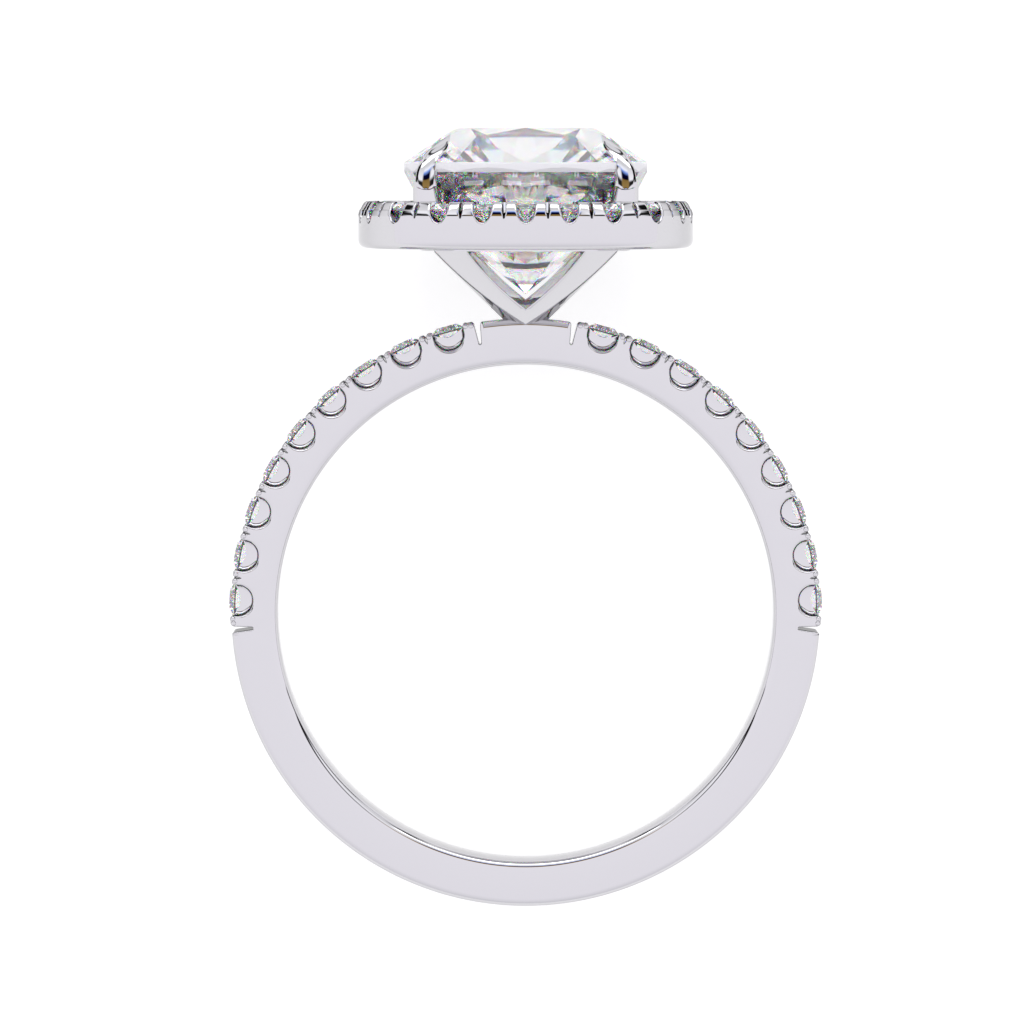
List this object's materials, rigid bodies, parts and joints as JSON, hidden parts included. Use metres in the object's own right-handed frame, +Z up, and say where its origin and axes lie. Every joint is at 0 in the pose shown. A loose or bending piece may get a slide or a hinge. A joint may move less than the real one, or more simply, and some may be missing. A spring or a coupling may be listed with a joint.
{
  "type": "halo ring",
  "caption": "Finger ring with a cushion-cut centre stone in four claws, a halo of small stones round it and small stones along a slim band.",
  "frame": {"origin": "the middle of the lying ring's box, at the surface that it lies on", "axes": "+X across the ring, +Y from the band's back to the head, +Z up from the surface; the finger's axis leans from +Z towards -Y by about 12 degrees"},
  "size_m": [0.0204, 0.0268, 0.0114],
  "materials": {
    "metal": "polished white metal",
    "centre_stone": "clear, polished facets",
    "small_stone": "clear, polished facets"
  },
  "bodies": {
    "root": {"band_and_setting": "metal", "centre_stone": "centre_stone", "halo_stone_01": "small_stone", "halo_stone_02": "small_stone", "halo_stone_03": "small_stone", "halo_stone_04": "small_stone", "halo_stone_05": "small_stone", "halo_stone_06": "small_stone", "halo_stone_07": "small_stone", "halo_stone_08": "small_stone", "halo_stone_09": "small_stone", "halo_stone_10": "small_stone", "halo_stone_11": "small_stone", "halo_stone_12": "small_stone", "halo_stone_13": "small_stone", "halo_stone_14": "small_stone", "halo_stone_15": "small_stone", "halo_stone_16": "small_stone", "halo_stone_17": "small_stone", "halo_stone_18": "small_stone", "halo_stone_19": "small_stone", "halo_stone_20": "small_stone", "halo_stone_21": "small_stone", "halo_stone_22": "small_stone", "halo_stone_23": "small_stone", "halo_stone_24": "small_stone", "band_stone_01": "small_stone", "band_stone_02": "small_stone", "band_stone_03": "small_stone", "band_stone_04": "small_stone", "band_stone_05": "small_stone", "band_stone_06": "small_stone", "band_stone_07": "small_stone", "band_stone_08": "small_stone", "band_stone_09": "small_stone", "band_stone_10": "small_stone", "band_stone_11": "small_stone", "band_stone_12": "small_stone", "band_stone_13": "small_stone", "band_stone_14": "small_stone", "band_stone_15": "small_stone", "band_stone_16": "small_stone", "band_stone_17": "small_stone", "band_stone_18": "small_stone"}
  },
  "joints": []
}
